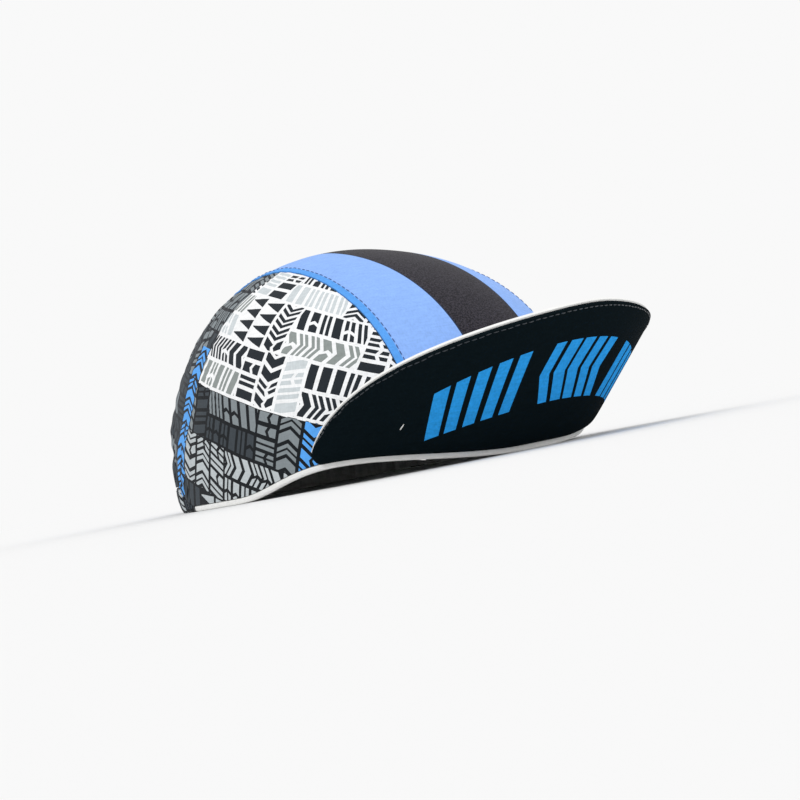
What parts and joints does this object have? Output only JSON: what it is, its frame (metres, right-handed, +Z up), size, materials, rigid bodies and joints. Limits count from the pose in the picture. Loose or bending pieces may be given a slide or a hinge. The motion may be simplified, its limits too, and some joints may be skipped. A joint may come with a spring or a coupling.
{
  "type": "cycling cap",
  "caption": "Close-fitting cloth cycling cap with a domed panelled crown, a gathered elastic nape and a short peak turned up.",
  "frame": {"origin": "middle of the part's bounding box, on the surface that the rim stands on", "axes": "+Z up, the front with the peak towards -Y, the wearer's left towards +X"},
  "size_m": [0.1658, 0.2436, 0.102],
  "materials": {
    "striped_cloth": "matte",
    "printed_cloth": "matte",
    "white_cloth": "matte",
    "black_cloth": "matte"
  },
  "bodies": {
    "root": {"centre_panel": "striped_cloth", "side_panel_right": "printed_cloth", "side_panel_left": "printed_cloth", "sweatband": "white_cloth", "elastic_casing": "printed_cloth", "peak_underside": "black_cloth", "peak_topside": "white_cloth"}
  },
  "joints": []
}
